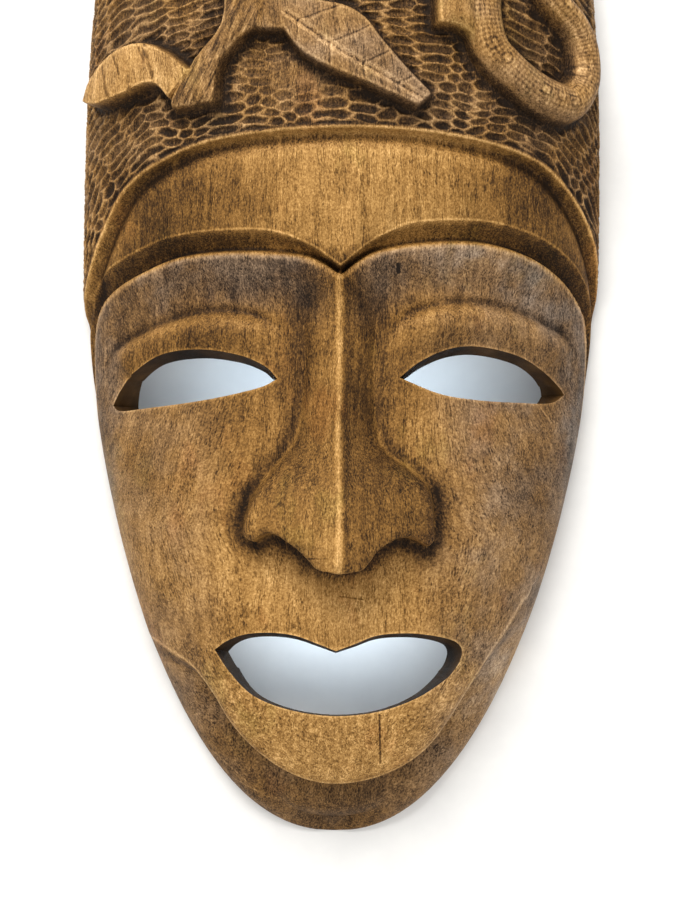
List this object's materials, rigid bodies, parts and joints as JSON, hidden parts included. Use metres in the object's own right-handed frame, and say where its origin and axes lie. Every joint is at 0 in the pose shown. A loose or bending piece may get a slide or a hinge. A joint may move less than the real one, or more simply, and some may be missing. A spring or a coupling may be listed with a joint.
{
  "type": "carved wooden tribal mask",
  "caption": "Long carved wooden face mask with pierced eyes and mouth, a ridged nose, brow arcs and a tall headdress with a branch, leaves and a snake in relief.",
  "frame": {"origin": "on the plane of the back rim, under the middle of the box", "axes": "the mask lies on its back: +Z out of the face, +Y towards the top of the headdress, +X to the right of someone who looks at the face"},
  "size_m": [0.1762, 0.4, 0.0664],
  "materials": {
    "carved_wood": "oiled and worn brown hardwood with darker stain in the carved hollows, fine pores along the grain and lighter rubbed edges"
  },
  "bodies": {
    "root": {"mask": "carved_wood"}
  },
  "joints": []
}
